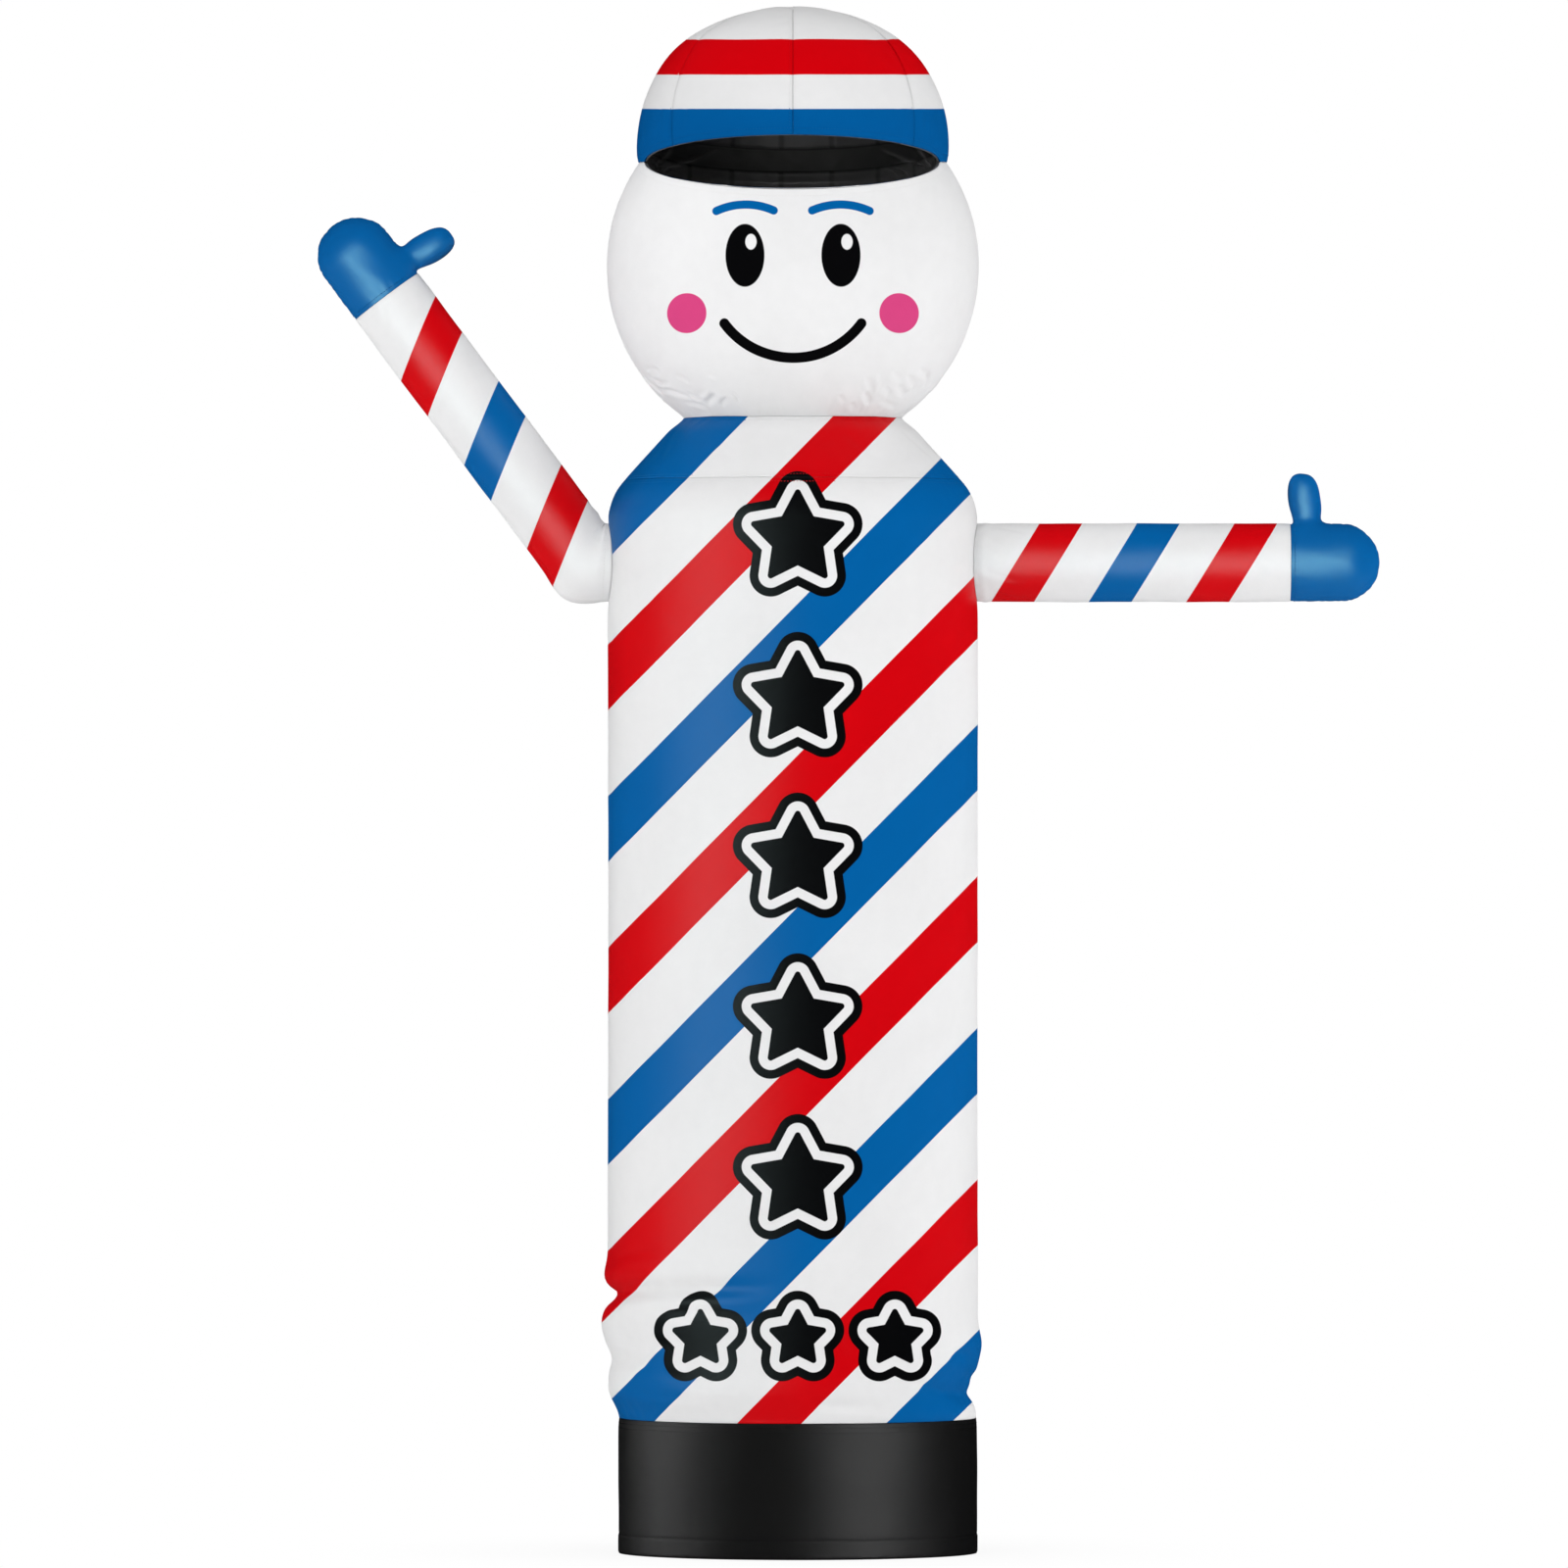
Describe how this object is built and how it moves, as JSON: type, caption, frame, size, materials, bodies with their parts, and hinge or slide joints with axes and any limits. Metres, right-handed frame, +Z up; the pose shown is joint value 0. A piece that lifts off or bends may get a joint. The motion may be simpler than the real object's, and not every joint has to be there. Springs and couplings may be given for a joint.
{
  "type": "inflatable air dancer",
  "caption": "Standing air-filled nylon figure: black blower collar, striped tube with shoulder yoke, ball head with a vented cap, one raised and one level sleeve with mitts.",
  "frame": {"origin": "middle of the collar's round mouth, on the ground", "axes": "+Z up along the tube, front with the vent towards -Y, level sleeve towards +X and raised sleeve towards -X"},
  "size_m": [1.4302, 0.5015, 2.083],
  "materials": {
    "black_collar": "satin",
    "printed_nylon": "satin, printed red and blue stripes",
    "white_nylon": "satin",
    "blue_nylon": "satin",
    "black_lining": "dull"
  },
  "bodies": {
    "root": {"collar": "black_collar", "body_tube": "printed_nylon", "shoulder_yoke": "printed_nylon", "head_ball": "white_nylon", "head_lining": "black_lining", "cap_gore_1": "printed_nylon", "cap_gore_2": "printed_nylon", "cap_gore_3": "printed_nylon", "cap_gore_4": "printed_nylon", "cap_gore_5": "printed_nylon", "cap_gore_6": "printed_nylon", "cap_gore_7": "printed_nylon", "cap_lining": "black_lining", "level_sleeve": "printed_nylon", "raised_sleeve": "printed_nylon", "level_mitt": "blue_nylon", "raised_mitt": "blue_nylon"}
  },
  "joints": []
}
